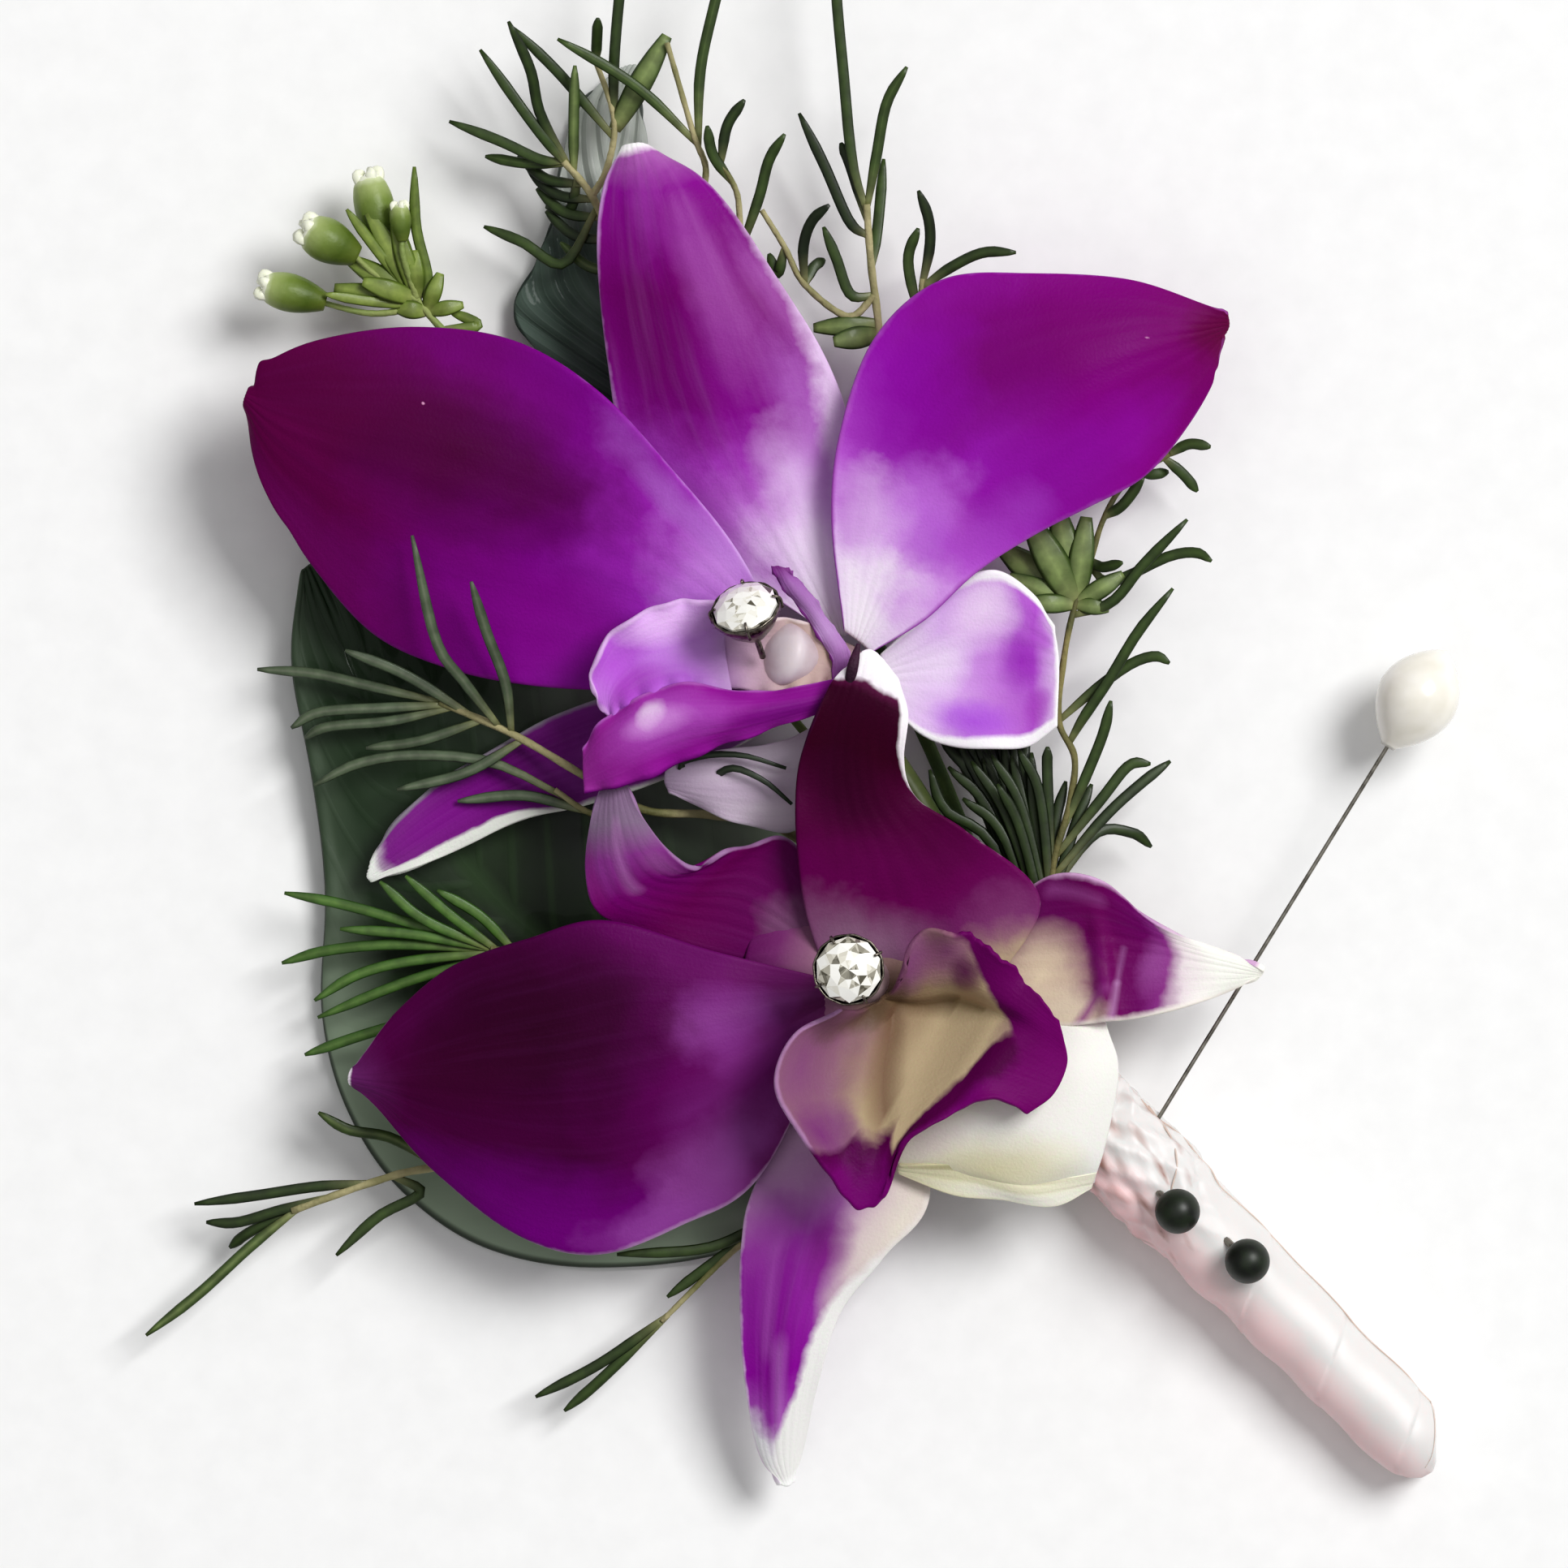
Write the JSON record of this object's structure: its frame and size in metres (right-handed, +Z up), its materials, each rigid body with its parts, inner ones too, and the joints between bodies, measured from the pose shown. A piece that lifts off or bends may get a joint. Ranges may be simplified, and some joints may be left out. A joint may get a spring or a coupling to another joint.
{
  "type": "boutonniere",
  "caption": "Orchid boutonniere lying on its back: purple blooms with crystals, needle sprigs, waxflower buds, leaves, satin-wrapped stems and pins.",
  "frame": {"origin": "middle of the footprint, on the table that it lies on", "axes": "+Z up from the table towards the blooms, +Y towards the needle tips at the top, +X towards the pearl pin"},
  "size_m": [0.0922, 0.1093, 0.0196],
  "materials": {
    "leaf_green": "waxy, semi-matt",
    "needle_green": "soft, matt",
    "bud_green": "waxy",
    "upper_petal": "velvety, faint sheen",
    "lower_petal": "velvety, faint sheen",
    "lip_purple": "velvety, faint sheen",
    "chin_white": "satin",
    "column_cream": "satin",
    "crystal_clear": "cut and polished",
    "setting_metal": "dark, polished",
    "ribbon_satin": "satin sheen",
    "cut_stem": "raw",
    "ball_dark": "gloss",
    "pearl_ivory": "pearly gloss",
    "pin_steel": "bright"
  },
  "bodies": {
    "root": {"backing_leaf": "leaf_green", "upper_leaf": "leaf_green", "needle_sprig_top_left": "needle_green", "needle_sprig_top_middle": "needle_green", "needle_sprig_right": "needle_green", "needle_sprig_left": "needle_green", "needle_sprig_lower_left": "needle_green", "needle_sprig_bottom": "needle_green", "waxflower_spray": "bud_green", "upper_bloom_dorsal_sepal": "upper_petal", "upper_bloom_left_petal": "upper_petal", "upper_bloom_right_petal": "upper_petal", "upper_bloom_left_sepal": "upper_petal", "upper_bloom_right_sepal": "upper_petal", "upper_bloom_lip": "lip_purple", "upper_bloom_column": "column_cream", "upper_bloom_crystal": "crystal_clear", "upper_bloom_crystal_setting": "setting_metal", "lower_bloom_dorsal_sepal": "lower_petal", "lower_bloom_left_petal": "lower_petal", "lower_bloom_right_petal": "lower_petal", "lower_bloom_down_sepal": "lower_petal", "lower_bloom_right_sepal": "lower_petal", "lower_bloom_lip": "lip_purple", "lower_bloom_column": "column_cream", "lower_bloom_crystal": "crystal_clear", "lower_bloom_crystal_setting": "setting_metal", "upper_bloom_chin": "chin_white", "lower_bloom_chin": "chin_white", "ribbon_wrap": "ribbon_satin", "stem_bundle": "cut_stem", "ball_pin_1_head": "ball_dark", "ball_pin_1_shaft": "pin_steel", "ball_pin_2_head": "ball_dark", "ball_pin_2_shaft": "pin_steel", "pearl_pin_head": "pearl_ivory", "pearl_pin_shaft": "pin_steel"}
  },
  "joints": []
}
